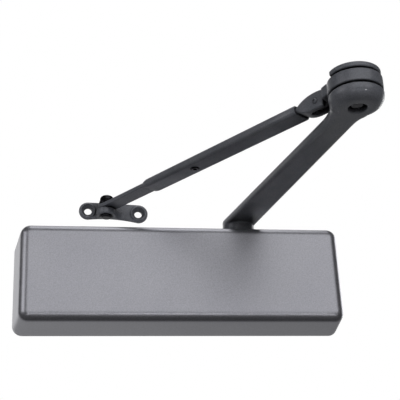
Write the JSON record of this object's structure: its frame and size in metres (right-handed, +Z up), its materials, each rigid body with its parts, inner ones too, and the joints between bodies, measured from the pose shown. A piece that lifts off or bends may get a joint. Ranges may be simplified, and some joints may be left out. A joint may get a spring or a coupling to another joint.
{
  "type": "door closer",
  "caption": "Surface-mounted door closer: silver full cover over a hydraulic spring body, and a folding two-piece arm that ends in a screwed frame shoe.",
  "frame": {"origin": "centre of the closer's back face, on the plane of the door, level with the cylinder's axis", "axes": "+X along the door towards the head end, +Y into the door, +Z up along the pinion"},
  "size_m": [0.311, 0.2914, 0.1386],
  "materials": {
    "silver_paint": "satin metallic silver paint with a fine grain",
    "arm_paint": "satin dark grey metallic paint on forged and pressed steel",
    "cast_iron": "painted casting, machined at the ends",
    "steel": "turned and ground steel",
    "dark_steel": "dark zinc plated fasteners",
    "spring_steel": "oiled spring steel",
    "bronze": "sintered bronze bushing",
    "brass": "turned brass",
    "rubber": "black sealing rubber"
  },
  "bodies": {
    "housing": {"closer_body": "cast_iron", "head_plug": "steel", "head_plug_seal": "rubber", "spring_plug": "steel", "spring_plug_seal": "rubber", "upper_bearing": "steel", "lower_bearing": "steel", "upper_shaft_seal": "rubber", "lower_shaft_seal": "rubber", "upper_bearing_nut": "steel", "lower_bearing_nut": "steel", "cover": "silver_paint", "upper_left_cover_clip": "spring_steel", "upper_right_cover_clip": "spring_steel", "lower_left_cover_clip": "spring_steel", "lower_right_cover_clip": "spring_steel", "main_spring": "spring_steel"},
    "arm": {"pinion": "steel", "main_arm": "arm_paint", "arm_washer": "steel", "arm_screw": "dark_steel", "elbow_pin": "dark_steel", "lower_elbow_washer": "rubber", "elbow_nut": "dark_steel"},
    "piston": {"piston": "steel", "check_ball_retainer": "brass"},
    "check_ball": {"check_ball": "steel"},
    "spring_seat": {"spring_seat": "steel"},
    "adjusting_screw": {"adjusting_screw": "steel"},
    "knuckle": {"knuckle": "arm_paint", "elbow_bushing": "bronze", "upper_elbow_washer": "rubber", "elbow_cap": "arm_paint"},
    "forearm": {"fork": "arm_paint", "tilt_pin": "arm_paint", "forearm_tube": "arm_paint"},
    "clamp_screw": {"clamp_screw": "dark_steel"},
    "rod": {"forearm_rod": "arm_paint"},
    "shoe": {"shoe": "arm_paint", "shoe_stud": "dark_steel", "shoe_washer": "dark_steel", "shoe_nut": "dark_steel"},
    "sweep_valve": {"sweep_valve": "brass", "sweep_valve_seal": "rubber"},
    "latch_valve": {"latch_valve": "brass", "latch_valve_seal": "rubber"},
    "backcheck_valve": {"backcheck_valve": "brass", "backcheck_valve_seal": "rubber"}
  },
  "joints": [
    {"name": "arm_swing", "type": "hinge", "parent": "housing", "child": "arm", "pos_m": [0.0587, -0.026, 0], "axis": [0, 0, 1], "range_deg": [0, 170], "stiffness_Nm_per_rad": 8.4, "springref_deg": -68.18},
    {"name": "piston_slide", "type": "slide", "parent": "housing", "child": "piston", "axis": [-1, 0, 0], "range_m": [0, 0.0285], "deforming": ["main_spring"]},
    {"name": "check_ball_slide", "type": "slide", "parent": "piston", "child": "check_ball", "axis": [1, 0, 0], "range_m": [0, 0.0008]},
    {"name": "adjusting_screw_turn", "type": "hinge", "parent": "housing", "child": "adjusting_screw", "pos_m": [-0.136, -0.026, 0], "axis": [1, 0, 0], "range_deg": [0, 3600]},
    {"name": "spring_seat_slide", "type": "slide", "parent": "housing", "child": "spring_seat", "axis": [1, 0, 0], "range_m": [0, 0.0153]},
    {"name": "elbow_swing", "type": "hinge", "parent": "arm", "child": "knuckle", "pos_m": [0.10478, -0.26988, 0.0716], "axis": [0, 0, 1], "range_deg": [-150, 150]},
    {"name": "forearm_tilt", "type": "hinge", "parent": "knuckle", "child": "forearm", "pos_m": [0.08555, -0.24112, 0.0731], "axis": [0.8313, 0.5559, 0], "range_deg": [-3.5, 10]},
    {"name": "clamp_screw_turn", "type": "hinge", "parent": "forearm", "child": "clamp_screw", "pos_m": [0.00325, -0.11805, 0.07301], "axis": [0.0147, -0.022, 0.9997], "range_deg": [0, 720]},
    {"name": "rod_slide", "type": "slide", "parent": "forearm", "child": "rod", "axis": [-0.5557, 0.831, 0.0264], "range_m": [-0.04, 0.042]},
    {"name": "shoe_swivel", "type": "hinge", "parent": "rod", "child": "shoe", "pos_m": [-0.068, -0.0115, 0.0804], "axis": [0.0489, 0, 0.9988], "range_deg": [-40, 100]},
    {"name": "sweep_valve_turn", "type": "hinge", "parent": "housing", "child": "sweep_valve", "pos_m": [0.092, -0.03, -0.033], "axis": [0, 0, 1], "range_deg": [-360, 360]},
    {"name": "latch_valve_turn", "type": "hinge", "parent": "housing", "child": "latch_valve", "pos_m": [0.104, -0.03, -0.033], "axis": [0, 0, 1], "range_deg": [-360, 360]},
    {"name": "backcheck_valve_turn", "type": "hinge", "parent": "housing", "child": "backcheck_valve", "pos_m": [0.116, -0.03, -0.033], "axis": [0, 0, 1], "range_deg": [-360, 360]}
  ],
  "couplings": [
    {"joint": "piston_slide", "follows": "arm_swing", "m_per_rad": 0.0096},
    {"joint": "spring_seat_slide", "follows": "adjusting_screw_turn", "m_per_rad": 0.0002387}
  ]
}
